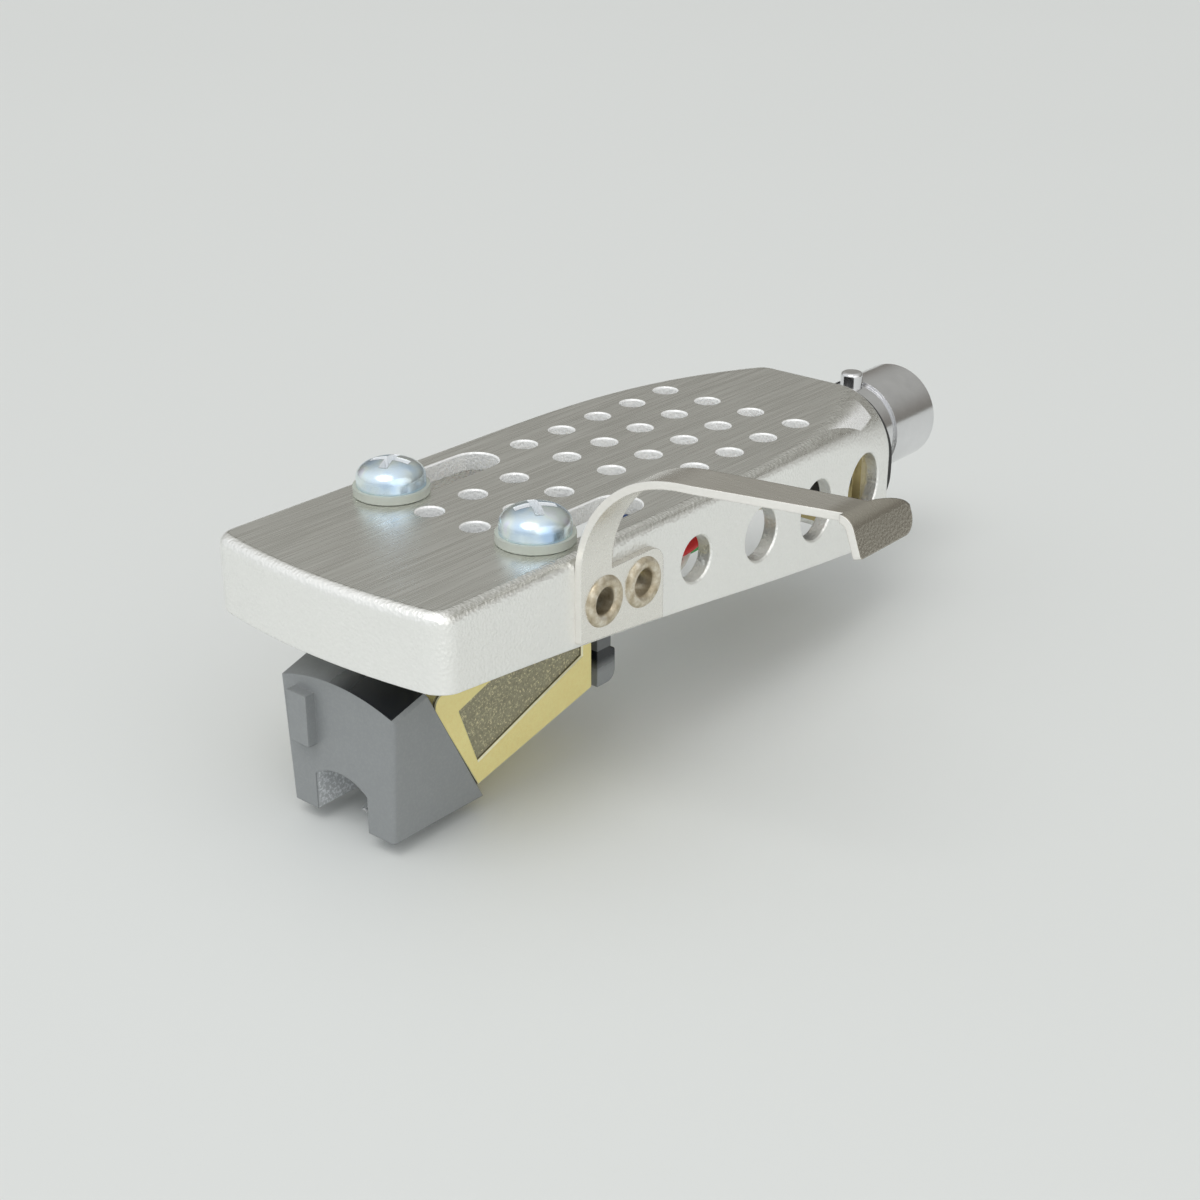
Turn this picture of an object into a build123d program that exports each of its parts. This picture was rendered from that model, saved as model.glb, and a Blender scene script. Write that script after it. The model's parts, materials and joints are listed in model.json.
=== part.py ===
import os
from math import cos, pi, radians, sin, tan

from build123d import *

os.makedirs("parts", exist_ok=True)

# Sizes are in millimetres. X points to the finger-lift side, Y towards the tonearm and Z up.
# The origin is the centre of the arm plug's free end.

# Clearances
seat_gap = 0.02
slide_gap = 0.03
screw_gap = 0.1
seam_gap = 0.05
cut_margin = 2.0
pick_tolerance = 0.001

# Arm plug, its gasket and its key
plug_radius = 4.0
plug_wall = 0.7
plug_length = 12.0
plug_inner_reach = 2.4
plug_chamfer = 0.3
plug_relief = 0.2
key_margin = 0.1
key_radius = 0.9
key_height = 1.0
key_from_shoulder = 5.0
gasket_half_width = 7.2
gasket_half_height = 5.5
gasket_corner_radius = 5.0
gasket_thickness = 1.0
gasket_land = 0.1
clamp_thickness = 1.2
clamp_half_width = 6.6
clamp_half_height = 4.2
clamp_corner_radius = 1.6

# Contacts inside the plug
insulator_recess = 0.8
board_thickness = 1.0
board_half_width = 6.6
board_rise = 4.4
board_drop = 1.0
board_corner_radius = 1.2
contact_circle_radius = 1.9
contact_radius = 0.6
contact_post_length = 4.0
contact_nose = 0.6

# Shell
shell_length = 52.3
shell_rear_width = 15.7
plate_thickness = 1.3
wall_thickness = 1.1
rear_wall_thickness = 2.4
axis_drop = 6.3
front_depth = 5.05
underside_bow = 0.725
nose_bow = 1.0
nose_corner_radius = 1.6
taper_length = 24.8
top_edge_radius = 0.8
rear_edge_radius = 5.5
inner_edge_radius = 0.3
end_edge_radius = 1.2
rear_sections = 4

# Holes in the shell
perforation_radius = 0.9
perforation_pitch = 4.0
hole_chamfer = 0.1
rear_grid_from_shoulder = 19.8
rear_grid_rows = 4
rear_grid_columns = 5
front_grid_from_shoulder = 37.15
front_grid_rows = 2
front_grid_columns = 3
slot_front_from_shoulder = 42.0
slot_length = 11.2
slot_gap = 0.4
side_hole_from_shoulder = 28.6
side_hole_count = 4
side_hole_pitch = 7.45
side_hole_depth = 4.1
side_hole_sink = 0.6
side_hole_radius = 1.6
side_hole_growth = 0.33
side_hole_chamfer = 0.12

# Finger lift and its rivets
lift_thickness = 0.5
lift_bend_radius = 7.4
lift_bend_depth = 1.3
lift_reach = 17.25
lift_fold_radius = 0.5
lift_fold_turn = 70.0
paddle_length = 1.7
paddle_front_corner_radius = 0.2
paddle_rear_corner_radius = 1.1
tab_front_from_shoulder = 40.85
tab_length = 8.05
tab_depth = 1.5
tab_edge_gap = 0.35
tab_corner_radius = 1.2
neck_width = 2.95
arm_sweep = 2.35
arm_end_width = 2.4
arm_turn_radius = 14.0
paddle_front_overhang = 0.35
paddle_rear_overhang = 2.9
paddle_setback = 1.0
rivet_pitch = 3.8
rivet_from_tab_front = 2.2
rivet_depth = 3.5
rivet_bore_radius = 0.9
rivet_shank_radius = 1.1
rivet_flange_radius = 1.7
rivet_roll = 0.3
rivet_inner_roll = 0.3

# Screws, washers and nuts that hold the cartridge
screw_spacing = 12.7
screw_from_shoulder = 40.3
screw_radius = 1.25
screw_length = 7.0
screw_tip_chamfer = 0.25
screw_head_radius = 2.3
screw_head_edge = 0.6
screw_head_height = 1.8
recess_span = 2.7
recess_width = 0.6
recess_depth = 1.1
recess_taper = 6.0
screw_turns = (25.0, 55.0)
washer_radius = 2.55
washer_thickness = 0.55
nut_across_flats = 4.0
nut_thickness = 2.0
nut_side_gap = 0.25

# Cartridge: bracket, case and terminals
ear_thickness = 2.5
ear_side_gap = 0.7
ear_length = 8.0
ear_corner_radius = 1.5
pedestal_half_width = 3.3
case_half_width = 4.85
case_wall = 0.9
case_top_drop = 5.2
case_rear_behind_screws = 7.0
case_shoulder_ahead_of_screws = 1.5
case_top_slope = 19.0
case_rear_height = 7.0
case_bottom_slope = 13.2
case_corner_radius = 0.8
case_edge_radius = 0.25
panel_depth = 0.25
panel_draft = 40.0
panel_top_margin = 2.15
panel_rear_margin = 0.8
panel_bottom_front = 1.65
panel_bottom_rear = 2.95
panel_lean = 1.6
terminal_neck = 1.05
terminal_neck_inset = 1.0
terminal_depth = 2.45
terminal_step = 0.45
terminal_step_drop = 10.1
terminal_bottom_drop = 12.6
terminal_half_width = 4.5
terminal_plug_depth = 2.0
terminal_corner_radius = 0.8
terminal_edge_radius = 0.35
terminal_pin_radius = 0.6
terminal_pin_length = 4.0
terminal_pin_spacing = 4.0
terminal_row_drop = 7.0
terminal_row_pitch = 2.1

# Stylus unit
stylus_ahead = 9.3
stylus_drop = 16.55
stylus_angle = 24.5
tip_height = 0.65
tip_radius = 0.13
tip_point_radius = 0.02
parting_reach = 5.1
parting_slope = 28.5
holder_nose_ahead = 11.45
holder_top_drop = 7.25
holder_bottom_drop = 15.9
holder_top_width = 10.2
holder_bottom_width = 9.2
holder_arch = 0.9
holder_top_chamfer = 0.2
holder_top_slope = 17.0
holder_edge_radius = 0.3
notch_width = 4.7
notch_height = 2.55
notch_arch = 0.8
notch_depth = 5.0
rib_width = 1.75
rib_height = 3.55
rib_thickness = 0.75
rib_inset = 1.42
rib_drop = 0.25
sleeve_radius = 0.75
sleeve_wall = 0.15
sleeve_front_reach = 3.4
sleeve_rear_reach = 9.4
pivot_reach = 6.2
damper_thickness = 0.6
cantilever_radius = 0.25
cantilever_nose = 0.35
cantilever_tail = 0.4
magnet_radius = 0.36
magnet_length = 1.8

# Coils and poles
pole_radius = 0.5
pole_spacing = 3.4
pole_pitch = 2.75
pole_behind_pivot = 0.35
pole_bottom_drop = 12.3
coil_radius = 1.3
coil_height = 3.3
coil_top_drop = 7.5
pole_stub = 0.3
former_length = 8.0

# Leads and their clips
lead_radius = 0.45
lead_run = 2.8
lead_bends = (0.35, 0.7)
lead_slack = {
    "red": ((1.5, -0.5), (1.2, -0.4)),
    "blue": ((-1.5, -0.5), (-1.2, -0.4)),
    "white": ((1.7, 0.4), (0.8, 0.8)),
    "green": ((-0.9, -1.0), (1.55, -0.5)),
}
bend_fill = 0.45
clip_radius = 0.85
clip_length = 3.4
clip_crimp_radius = 0.7
clip_crimp_length = 1.1
clip_offset = 0.2

# Places worked out from the sizes
plug_body_radius = plug_radius - plug_relief
shoulder_y = -plug_length
shell_rear_y = shoulder_y - gasket_thickness
shell_front_y = shell_rear_y - shell_length
rear_wall_y = shell_rear_y - rear_wall_thickness
taper_y = shell_rear_y - taper_length
top_z = axis_drop
roof_z = top_z - plate_thickness
rear_depth = axis_drop + gasket_half_height + gasket_land
wall_inner_x = (screw_spacing + nut_across_flats) / 2 + nut_side_gap + rivet_inner_roll
wall_x = wall_inner_x + wall_thickness
shell_width = 2 * wall_x
ear_half_width = wall_inner_x - ear_side_gap
skirt_z = top_z - rear_depth - cut_margin
slot_width = 2 * (screw_radius + slot_gap)
screw_y = shoulder_y - screw_from_shoulder
screw_xs = (-screw_spacing / 2, screw_spacing / 2)
mount_z = roof_z - slide_gap
tip_y = screw_y - stylus_ahead
tip_z = mount_z - stylus_drop
stylus_axis_z = tip_z + tip_height
stylus_plane = Plane(
    origin=(0, tip_y, stylus_axis_z),
    x_dir=(1, 0, 0),
    z_dir=(0, cos(radians(stylus_angle)), sin(radians(stylus_angle))),
)
case_top_z = mount_z - case_top_drop
case_rear_y = screw_y + case_rear_behind_screws
case_shoulder_y = screw_y - case_shoulder_ahead_of_screws
far_front_y = screw_y - holder_nose_ahead - cut_margin
terminal_rear_y = case_rear_y + terminal_depth
terminal_rows = (mount_z - terminal_row_drop, mount_z - terminal_row_drop - terminal_row_pitch)
plug_front_y = rear_wall_y - plug_inner_reach
insulator_front_y = plug_front_y - board_thickness
contact_offset = contact_circle_radius * cos(radians(45))


def save(piece, name):
    """Labels a finished piece and writes it as one file."""
    piece.part.label = name
    export_step(piece.part, f"parts/{name}.step")


def half_width(y):
    """Half of the shell's width, which draws in along a curve behind the taper's start."""
    drawn = max(0.0, y - taper_y) / taper_length
    return wall_x - (shell_width - shell_rear_width) / 2 * drawn**2


def edge_radius(y, inset):
    """Radius of the shell's top edge, which grows towards the rear."""
    grown = (y - taper_y) / taper_length
    outer = top_edge_radius + (rear_edge_radius - top_edge_radius) * grown**3
    return max(outer - inset, inner_edge_radius)


def shell_form(inset, form_top_z, end_y):
    """The shell's outer form, or with an inset the form of its hollow."""
    nose_y = shell_front_y + inset
    side_x = wall_x - inset
    corner_y = nose_y + nose_bow
    with BuildPart() as form:
        with BuildSketch(Plane.XY.offset(form_top_z)) as plan:
            with BuildLine():
                Polyline((-side_x, corner_y), (-side_x, taper_y), (side_x, taper_y), (side_x, corner_y))
                ThreePointArc((-side_x, corner_y), (0, nose_y), (side_x, corner_y))
            make_face()
            fillet(plan.vertices().group_by(Axis.Y)[0], nose_corner_radius - inset)
        extrude(amount=skirt_z - form_top_z)
        rim = form.faces().sort_by(Axis.Z)[-1].edges()
        front_rim = rim.filter_by(lambda edge: edge.center().Y < taper_y - pick_tolerance)
        fillet(front_rim, edge_radius(taper_y, inset))
        for step in range(rear_sections + 1):
            y = taper_y + (end_y - taper_y) * step / rear_sections
            with BuildSketch(Plane.XZ.offset(-y)) as section:
                with Locations((0, (form_top_z + skirt_z) / 2)):
                    Rectangle(2 * (half_width(y) - inset), form_top_z - skirt_z)
                fillet(section.vertices().group_by(Axis.Y)[-1], edge_radius(y, inset))
        loft()
    return form.part


def parting_plane(offset):
    """The slanted face between the stylus holder and the case, moved towards the case."""
    tilt = radians(parting_slope)
    face = Plane(stylus_plane.offset(parting_reach).origin, (1, 0, 0), (0, cos(tilt), sin(tilt)))
    return face.offset(offset)


def case_front_corner():
    """Where the parting plane meets the case's sloping bottom."""
    origin = parting_plane(0).origin
    lean = tan(radians(parting_slope))
    slope = tan(radians(case_bottom_slope))
    rear_bottom = case_top_z - case_rear_height
    y = (origin.Y + (origin.Z - rear_bottom + case_rear_y * slope) * lean) / (1 + slope * lean)
    return y, rear_bottom - (case_rear_y - y) * slope


def case_outline(inset, rear_y):
    """Side outline of the case, moved inwards by an inset, running past the parting plane at the front."""
    top_slope = radians(case_top_slope)
    bottom_slope = radians(case_bottom_slope)
    top = case_top_z - inset
    bend_y = case_shoulder_y + inset * tan(top_slope / 2)
    low_top = top - (bend_y - far_front_y) * tan(top_slope)
    rear_bottom = case_top_z - case_rear_height + inset / cos(bottom_slope)
    low_bottom = rear_bottom - (case_rear_y - far_front_y) * tan(bottom_slope)
    end_bottom = rear_bottom + (rear_y - case_rear_y) * tan(bottom_slope)
    front = [(far_front_y, low_bottom), (far_front_y, low_top)]
    rear = [(rear_y, top), (rear_y, end_bottom)]
    return front + [(bend_y, top)] + rear


def case_form(inset, front_offset, rear_y):
    """The case's form behind the parting plane."""
    with BuildPart() as form:
        with BuildSketch(Plane.YZ):
            with BuildLine():
                Polyline(case_outline(inset, rear_y), close=True)
            make_face()
        extrude(amount=case_half_width - inset, both=True)
        split(bisect_by=parting_plane(front_offset), keep=Keep.TOP)
    return form.part


def lead_route(start, end, slack):
    """Points of a lead from its terminal clip, out in a slack curve, to its contact clip."""
    leave = start + Vector(0, lead_run, 0)
    arrive = end - Vector(0, lead_run, 0)
    bends = [leave + (arrive - leave) * share + Vector(x, 0, z) for share, (x, z) in zip(lead_bends, slack)]
    return [start, leave, *bends, arrive, end]


def bend_radii(points):
    """The largest even radius at each inner corner of a route."""
    radii = []
    for before, corner, after in zip(points, points[1:], points[2:]):
        first = corner - before
        second = after - corner
        turn = radians(first.get_angle(second))
        radii.append(bend_fill * min(first.length, second.length) / tan(turn / 2))
    return radii


def push_clip(mouth, direction):
    """A push-on clip: a sleeve for the pin, then a crimped barrel for the lead."""
    start = Plane(origin=mouth, z_dir=direction)
    with BuildPart() as clip:
        with BuildSketch(start):
            Circle(clip_radius)
            Circle(terminal_pin_radius + seat_gap, mode=Mode.SUBTRACT)
        extrude(amount=clip_length)
        with BuildSketch(start.offset(clip_length)):
            Circle(clip_crimp_radius)
            Circle(lead_radius + seat_gap, mode=Mode.SUBTRACT)
        extrude(amount=clip_crimp_length)
    return clip


def on_plate_top(edge):
    """Whether a hole's edge lies in the plate's top face."""
    return edge.bounding_box().min.Z > top_z - pick_tolerance


def on_wall_outside(edge):
    """Whether a side hole's edge lies on the outer face of a wall."""
    middle = edge.center()
    return abs(middle.X) > half_width(middle.Y) - wall_thickness / 2 and edge.length > 2 * wall_thickness


# The curved cut along the underside, which deepens the walls towards the rear
with BuildPart() as underside:
    with BuildSketch(Plane.YZ):
        front_z = top_z - front_depth
        rear_z = top_z - rear_depth
        start_y = shell_front_y + nose_bow
        middle = ((start_y + shell_rear_y) / 2, (front_z + rear_z) / 2 + underside_bow)
        with BuildLine():
            ThreePointArc((start_y, front_z), middle, (shell_rear_y, rear_z))
            Polyline(
                (shell_rear_y, rear_z),
                (shell_rear_y + cut_margin, rear_z),
                (shell_rear_y + cut_margin, skirt_z - cut_margin),
                (shell_front_y - cut_margin, skirt_z - cut_margin),
                (shell_front_y - cut_margin, front_z),
                (start_y, front_z),
            )
        make_face()
    extrude(amount=shell_width, both=True)

# Shell: perforated plate with thin walls, open underneath
rivet_front_y = shoulder_y - tab_front_from_shoulder + rivet_from_tab_front
rivet_z = top_z - rivet_depth
rivet_places = [(rivet_front_y, rivet_z), (rivet_front_y + rivet_pitch, rivet_z)]
with BuildPart() as shell:
    add(shell_form(0, top_z, shell_rear_y))
    end_rim = shell.faces().sort_by(Axis.Y)[-1].edges()
    fillet(end_rim.filter_by(lambda edge: edge.center().Z > skirt_z + pick_tolerance), end_edge_radius)
    add(shell_form(wall_thickness, roof_z, rear_wall_y), mode=Mode.SUBTRACT)
    add(underside.part, mode=Mode.SUBTRACT)
    with BuildSketch(Plane.XY.offset(top_z)):
        with Locations((0, shoulder_y - rear_grid_from_shoulder)):
            with GridLocations(perforation_pitch, perforation_pitch, rear_grid_rows, rear_grid_columns):
                Circle(perforation_radius)
        with Locations((0, shoulder_y - front_grid_from_shoulder)):
            with GridLocations(perforation_pitch, perforation_pitch, front_grid_rows, front_grid_columns):
                Circle(perforation_radius)
        slot_y = shoulder_y - slot_front_from_shoulder + slot_length / 2
        with Locations(*[(x, slot_y) for x in screw_xs]):
            SlotOverall(slot_length, slot_width, rotation=90)
    before = shell.edges()
    extrude(amount=-plate_thickness - inner_edge_radius, mode=Mode.SUBTRACT)
    plate_rims = (shell.edges() - before).filter_by(on_plate_top)
    chamfer(plate_rims, hole_chamfer)
    before = shell.edges()
    with BuildSketch(Plane.YZ):
        for number in range(side_hole_count):
            hole_y = shoulder_y - side_hole_from_shoulder + number * side_hole_pitch
            hole_z = top_z - side_hole_depth - number * side_hole_sink
            with Locations((hole_y, hole_z)):
                Circle(side_hole_radius + number * side_hole_growth)
    extrude(amount=shell_width, both=True, mode=Mode.SUBTRACT)
    side_rims = (shell.edges() - before).filter_by(on_wall_outside)
    chamfer(side_rims, side_hole_chamfer)
    with BuildSketch(Plane.YZ.offset(wall_inner_x)):
        with Locations(*rivet_places):
            Circle(rivet_shank_radius)
    extrude(amount=wall_thickness, mode=Mode.SUBTRACT)
    with BuildSketch(Plane.XZ.offset(-shell_rear_y)):
        Circle(plug_body_radius + seat_gap)
    extrude(amount=rear_wall_thickness, mode=Mode.SUBTRACT)
save(shell, "shell")

# Finger lift: one sheet with a riveted tab, a curved neck, a swept arm and a paddle folded down
lift_outer_x = wall_x + lift_thickness
tab_front_y = shoulder_y - tab_front_from_shoulder
tab_rear_y = tab_front_y + tab_length
fold_x = wall_x + lift_reach
arm_turn_x = wall_x + lift_bend_radius
paddle_end_x = fold_x + lift_fold_radius + lift_thickness + paddle_length
arm_end_y = tab_front_y + arm_sweep
with BuildPart() as finger_lift:
    with BuildSketch(Plane.XZ.offset(cut_margin - tab_front_y)):
        with BuildLine():
            rise = Line((wall_x, top_z - front_depth), (wall_x, top_z - lift_bend_depth))
            bend = JernArc(rise @ 1, rise % 1, lift_bend_radius + lift_thickness, -90)
            arm = Line(bend @ 1, (fold_x, (bend @ 1).Y))
            fold = JernArc(arm @ 1, arm % 1, lift_fold_radius + lift_thickness, -lift_fold_turn)
            Line(fold @ 1, fold @ 1 + (fold % 1) * paddle_length)
            offset(amount=lift_thickness, side=Side.RIGHT)
        make_face()
    extrude(amount=-tab_length - 2 * cut_margin)
    with BuildSketch(Plane.XY.offset(skirt_z)) as lift_plan:
        with BuildLine():
            Polyline(
                (wall_x, tab_front_y),
                (arm_turn_x, tab_front_y),
                (fold_x, arm_end_y),
                (fold_x, arm_end_y - paddle_front_overhang),
                (paddle_end_x, arm_end_y - paddle_front_overhang),
                (paddle_end_x, arm_end_y + arm_end_width + paddle_rear_overhang),
                (fold_x + paddle_setback, arm_end_y + arm_end_width + paddle_rear_overhang),
                (fold_x, arm_end_y + arm_end_width),
                (arm_turn_x, tab_front_y + neck_width),
                (wall_x, tab_front_y + neck_width),
                close=True,
            )
        make_face()
        turns = lift_plan.vertices().filter_by(lambda corner: abs(corner.X - arm_turn_x) < pick_tolerance)
        fillet(turns, arm_turn_radius)
    extrude(amount=shell_width + rear_depth, mode=Mode.INTERSECT)
    corners = finger_lift.edges().filter_by(lambda edge: abs(edge.length - lift_thickness) < pick_tolerance)
    end_corners = corners.sort_by(Axis.X)[-2:].sort_by(Axis.Y)
    fillet(end_corners[0], paddle_front_corner_radius)
    fillet(end_corners[1], paddle_rear_corner_radius)
    with BuildSketch(Plane.YZ.offset(wall_x)) as tab:
        with BuildLine():
            Polyline(
                (tab_front_y, skirt_z),
                (tab_front_y, top_z - tab_depth),
                (tab_rear_y, top_z - tab_depth),
                (tab_rear_y, skirt_z),
                close=True,
            )
        make_face()
        fillet(tab.vertices().group_by(Axis.Y)[-1].sort_by(Axis.X)[-1], tab_corner_radius)
        with Locations(*rivet_places):
            Circle(rivet_shank_radius, mode=Mode.SUBTRACT)
    extrude(amount=lift_thickness)
    with BuildSketch(Plane.YZ.offset(wall_x)):
        with Locations(*rivet_places):
            Circle(rivet_shank_radius)
    extrude(amount=lift_thickness, mode=Mode.SUBTRACT)
    add(underside.part.moved(Location((0, 0, tab_edge_gap))), mode=Mode.SUBTRACT)
save(finger_lift, "finger_lift")

# Two hollow rivets, rolled over the tab outside and over the wall inside
with BuildPart() as lift_rivets:
    for rivet_y, _ in rivet_places:
        roll_middle = (rivet_flange_radius + rivet_bore_radius) / 2
        with BuildSketch(Plane(origin=(0, rivet_y, rivet_z), x_dir=(1, 0, 0), z_dir=(0, -1, 0))):
            with BuildLine():
                ThreePointArc(
                    (lift_outer_x, rivet_flange_radius),
                    (lift_outer_x + rivet_roll, roll_middle),
                    (lift_outer_x, rivet_bore_radius),
                )
                Line((lift_outer_x, rivet_bore_radius), (wall_inner_x, rivet_bore_radius))
                ThreePointArc(
                    (wall_inner_x, rivet_bore_radius),
                    (wall_inner_x - rivet_inner_roll, roll_middle),
                    (wall_inner_x, rivet_flange_radius),
                )
                Polyline(
                    (wall_inner_x, rivet_flange_radius),
                    (wall_inner_x, rivet_shank_radius),
                    (lift_outer_x, rivet_shank_radius),
                    (lift_outer_x, rivet_flange_radius),
                )
            make_face()
        revolve(axis=Axis((0, rivet_y, rivet_z), (1, 0, 0)))
save(lift_rivets, "lift_rivets")

# Arm plug: a tube through the rear wall, relieved ahead of its fitting nose, with a hole for its key
key_y = shoulder_y + key_from_shoulder
nose_start_y = key_y + key_radius + key_margin
with BuildPart() as arm_plug:
    with BuildSketch(Plane.XZ):
        Circle(plug_body_radius)
    extrude(amount=-plug_front_y)
    with BuildSketch(Plane.XZ):
        Circle(plug_radius)
    extrude(amount=-nose_start_y)
    chamfer(arm_plug.edges().group_by(Axis.Y)[-1], plug_chamfer)
    with BuildSketch(Plane.XZ):
        Circle(plug_radius - plug_wall)
    extrude(amount=-plug_front_y, mode=Mode.SUBTRACT)
    with BuildSketch(Plane.XY):
        with Locations((0, key_y)):
            Circle(key_radius)
    extrude(amount=plug_radius, mode=Mode.SUBTRACT)
save(arm_plug, "arm_plug")

# Key that turns the plug to its place in the arm
with BuildPart() as locating_key:
    with BuildSketch(Plane.XY.offset(plug_radius - plug_wall)):
        with Locations((0, key_y)):
            Circle(key_radius)
    extrude(amount=plug_wall + key_height)
    fillet(locating_key.edges().group_by(Axis.Z)[-1], plug_chamfer)
save(locating_key, "locating_key")

# Rubber gasket between the shell and the arm
with BuildPart() as gasket:
    with BuildSketch(Plane.XZ.offset(-shoulder_y)):
        RectangleRounded(2 * gasket_half_width, 2 * gasket_half_height, gasket_corner_radius)
        Circle(plug_body_radius + seat_gap, mode=Mode.SUBTRACT)
    extrude(amount=gasket_thickness)
save(gasket, "gasket")

# Brass clamp plate that holds the plug against the rear wall
with BuildPart() as clamp_plate:
    with BuildSketch(Plane.XZ.offset(-rear_wall_y)):
        RectangleRounded(2 * clamp_half_width, 2 * clamp_half_height, clamp_corner_radius)
        Circle(plug_body_radius + seat_gap, mode=Mode.SUBTRACT)
    extrude(amount=clamp_thickness)
save(clamp_plate, "clamp_plate")

# Insulator: a core in the plug and a board on the plug's inner end, with a hole for each contact
contact_places = [
    (contact_offset, contact_offset),
    (-contact_offset, contact_offset),
    (-contact_offset, -contact_offset),
    (contact_offset, -contact_offset),
]
insulator_radius = plug_radius - plug_wall - seat_gap
with BuildPart() as contact_insulator:
    with BuildSketch(Plane.XZ.offset(insulator_recess)):
        Circle(insulator_radius)
    extrude(amount=-insulator_front_y - insulator_recess)
    with BuildSketch(Plane.XZ.offset(-plug_front_y)):
        with Locations((0, (board_rise - board_drop) / 2)):
            RectangleRounded(2 * board_half_width, board_rise + board_drop, board_corner_radius)
    extrude(amount=board_thickness)
    with BuildSketch(Plane.XZ.offset(insulator_recess)):
        with Locations(*contact_places):
            Circle(contact_radius)
    extrude(amount=-insulator_front_y - insulator_recess, mode=Mode.SUBTRACT)
save(contact_insulator, "contact_insulator")

# Four contacts, each a domed nose at the rear and a post for a clip at the front
lead_names = tuple(lead_slack)
for lead_name, (contact_x, contact_z) in zip(lead_names, contact_places):
    with BuildPart() as contact:
        with BuildSketch(Plane.XZ.offset(insulator_recess - contact_nose)):
            with Locations((contact_x, contact_z)):
                Circle(contact_radius)
        extrude(amount=contact_nose - insulator_recess - insulator_front_y + contact_post_length)
        fillet(contact.edges().group_by(Axis.Y)[-1], contact_radius / 2)
    save(contact, f"contact_{lead_name}")

# Two pan-head screws with cross recesses
head_z = top_z + slide_gap + washer_thickness
with BuildPart() as mounting_screws:
    for screw_x, turn in zip(screw_xs, screw_turns):
        with BuildSketch(Plane(origin=(screw_x, screw_y, head_z), x_dir=(1, 0, 0), z_dir=(0, -1, 0))):
            with BuildLine():
                Polyline(
                    (0, screw_head_height),
                    (0, -screw_length),
                    (screw_radius - screw_tip_chamfer, -screw_length),
                    (screw_radius, screw_tip_chamfer - screw_length),
                    (screw_radius, 0),
                    (screw_head_radius, 0),
                    (screw_head_radius, screw_head_edge),
                )
                crown_height = screw_head_height - screw_head_edge
                EllipticalCenterArc((0, screw_head_edge), screw_head_radius, crown_height, 0, arc_size=90)
            make_face()
        revolve(axis=Axis((screw_x, screw_y, 0), (0, 0, 1)))
        crown = Plane.XY.offset(head_z + screw_head_height)
        with BuildSketch(crown):
            with Locations(Location((screw_x, screw_y, 0), (0, 0, turn))):
                Rectangle(recess_span, recess_width)
                Rectangle(recess_width, recess_span)
        extrude(amount=-recess_depth, taper=recess_taper, mode=Mode.SUBTRACT)
save(mounting_screws, "mounting_screws")

# Nylon washers under the heads
with BuildPart() as mounting_washers:
    with BuildSketch(Plane.XY.offset(top_z + slide_gap)):
        with Locations(*[(x, screw_y) for x in screw_xs]):
            Circle(washer_radius)
            Circle(screw_radius + seat_gap, mode=Mode.SUBTRACT)
    extrude(amount=washer_thickness)
save(mounting_washers, "mounting_washers")

# Nuts under the bracket's ears
with BuildPart() as mounting_nuts:
    with BuildSketch(Plane.XY.offset(mount_z - ear_thickness)):
        with Locations(*[(x, screw_y) for x in screw_xs]):
            RegularPolygon(nut_across_flats / 2, 6, major_radius=False, rotation=30)
            Circle(screw_radius + seat_gap, mode=Mode.SUBTRACT)
    extrude(amount=-nut_thickness)
save(mounting_nuts, "mounting_nuts")

# Bracket: two ears under the plate and a pedestal that stands on the case
with BuildPart() as mounting_bracket:
    with BuildSketch(Plane.XY.offset(mount_z)) as ears:
        with Locations((0, screw_y)):
            Rectangle(2 * ear_half_width, ear_length)
        fillet(ears.vertices(), ear_corner_radius)
        with Locations(*[(x, screw_y) for x in screw_xs]):
            Circle(screw_radius + screw_gap, mode=Mode.SUBTRACT)
    extrude(amount=-ear_thickness)
    with BuildSketch(Plane.XY.offset(mount_z)):
        with Locations((0, (case_shoulder_y + case_rear_y) / 2)):
            Rectangle(2 * pedestal_half_width, case_rear_y - case_shoulder_y)
    extrude(amount=-case_top_drop)
save(mounting_bracket, "mounting_bracket")

# Case: a hollow metal body with a sunk panel on each side and a bore for the stylus sleeve
with BuildPart() as case:
    add(case_form(0, seam_gap, case_rear_y))
    cross_edges = case.edges().filter_by(Axis.X)
    fillet(cross_edges.sort_by(Axis.Y)[0], case_corner_radius)
    bottom_edges = case.faces().sort_by(Axis.Z)[0].edges()
    fillet(bottom_edges.sort_by(lambda edge: abs(edge.center().X))[-2:], case_edge_radius)
    add(case_form(case_wall, seam_gap + case_wall, case_rear_y + cut_margin), mode=Mode.SUBTRACT)
    corner_y, corner_z = case_front_corner()
    panel_top_z = case_top_z - panel_top_margin
    panel_rear_y = case_rear_y - panel_rear_margin
    panel_rear_z = corner_z + (panel_rear_y - corner_y) * tan(radians(case_bottom_slope)) + panel_bottom_rear
    panel_high_z = panel_top_z - (case_shoulder_y - corner_y + panel_lean) * tan(radians(case_top_slope))
    for side in (-1, 1):
        with BuildSketch(Plane.YZ.offset(side * case_half_width)):
            with BuildLine():
                Polyline(
                    (corner_y, corner_z + panel_bottom_front),
                    (corner_y - panel_lean, panel_high_z),
                    (case_shoulder_y, panel_top_z),
                    (panel_rear_y, panel_top_z),
                    (panel_rear_y, panel_rear_z),
                    close=True,
                )
            make_face()
        extrude(amount=-side * panel_depth, taper=panel_draft, mode=Mode.SUBTRACT)
    with BuildSketch(stylus_plane.offset(sleeve_front_reach)):
        Circle(sleeve_radius + slide_gap)
    extrude(amount=sleeve_rear_reach - sleeve_front_reach, mode=Mode.SUBTRACT)
save(case, "cartridge_case")

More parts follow.
